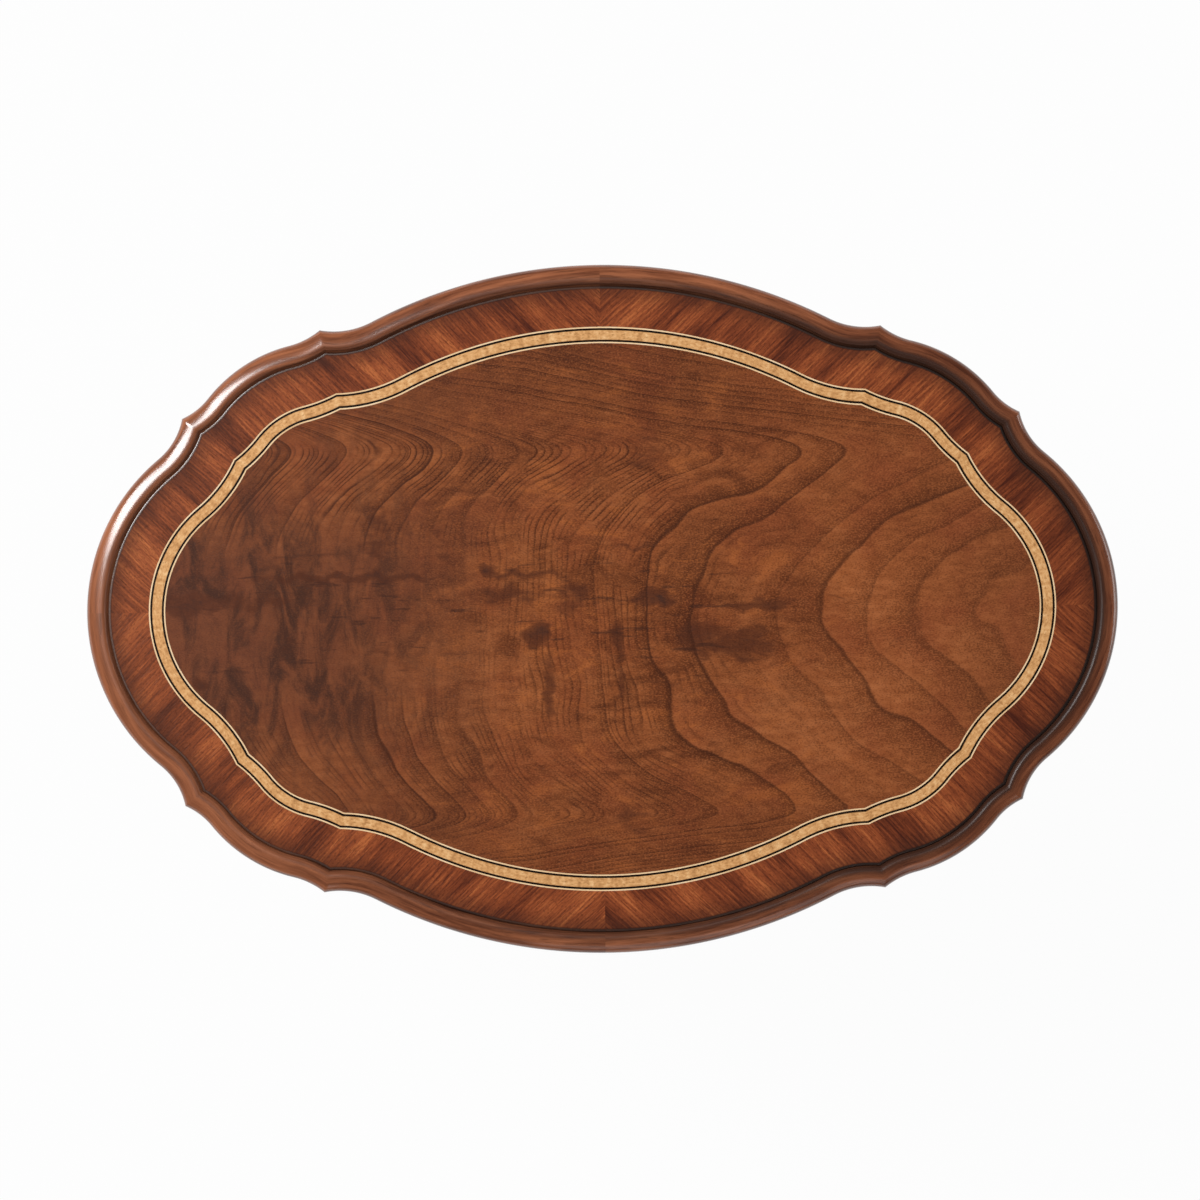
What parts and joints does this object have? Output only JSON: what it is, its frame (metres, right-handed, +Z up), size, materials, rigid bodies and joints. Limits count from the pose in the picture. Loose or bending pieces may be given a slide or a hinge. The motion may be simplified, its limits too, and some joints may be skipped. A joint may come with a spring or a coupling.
{
  "type": "accent table",
  "caption": "Small oval accent table with a cusped serpentine outline, raised moulded lip, crossbanded and line-inlaid veneered top, shaped apron and cabriole legs.",
  "frame": {"origin": "on the floor, under the middle of the top", "axes": "+X along the table's length to the right, +Y across it to the back, +Z up"},
  "size_m": [0.686, 0.458, 0.66],
  "materials": {
    "figured_veneer": "satin lacquer over figured veneer",
    "crossband_veneer": "satin lacquer over straight-grained veneer",
    "satinwood": "satin lacquer",
    "boxwood": "satin lacquer",
    "ebony": "satin lacquer",
    "solid_mahogany": "stained and glazed, satin lacquer",
    "core_board": "sealed, unpolished",
    "secondary_wood": "planed, unpolished",
    "screw_steel": "zinc plated",
    "glide_nylon": "matt moulded nylon"
  },
  "bodies": {
    "root": {"apron_rail_back": "solid_mahogany", "apron_rail_front": "solid_mahogany", "apron_rail_left": "solid_mahogany", "apron_rail_right": "solid_mahogany", "backing_veneer": "core_board", "boxwood_string_inner": "boxwood", "boxwood_string_outer": "boxwood", "brace_screws": "screw_steel", "centre_veneer": "figured_veneer", "corner_brace_back_left": "secondary_wood", "corner_brace_back_right": "secondary_wood", "corner_brace_front_left": "secondary_wood", "corner_brace_front_right": "secondary_wood", "crossband_back_left": "crossband_veneer", "crossband_back_right": "crossband_veneer", "crossband_front_left": "crossband_veneer", "crossband_front_right": "crossband_veneer", "ebony_string_inner": "ebony", "ebony_string_outer": "ebony", "edge_moulding_back_left": "solid_mahogany", "edge_moulding_back_right": "solid_mahogany", "edge_moulding_front_left": "solid_mahogany", "edge_moulding_front_right": "solid_mahogany", "foot_glides": "glide_nylon", "glue_block_back": "secondary_wood", "glue_block_front": "secondary_wood", "glue_block_left": "secondary_wood", "glue_block_right": "secondary_wood", "knee_bracket_end_back_left": "solid_mahogany", "knee_bracket_end_back_right": "solid_mahogany", "knee_bracket_end_front_left": "solid_mahogany", "knee_bracket_end_front_right": "solid_mahogany", "knee_bracket_side_back_left": "solid_mahogany", "knee_bracket_side_back_right": "solid_mahogany", "knee_bracket_side_front_left": "solid_mahogany", "knee_bracket_side_front_right": "solid_mahogany", "leg_back_left": "solid_mahogany", "leg_back_right": "solid_mahogany", "leg_front_left": "solid_mahogany", "leg_front_right": "solid_mahogany", "satinwood_band": "satinwood", "top_core": "core_board", "top_screws": "screw_steel"}
  },
  "joints": []
}
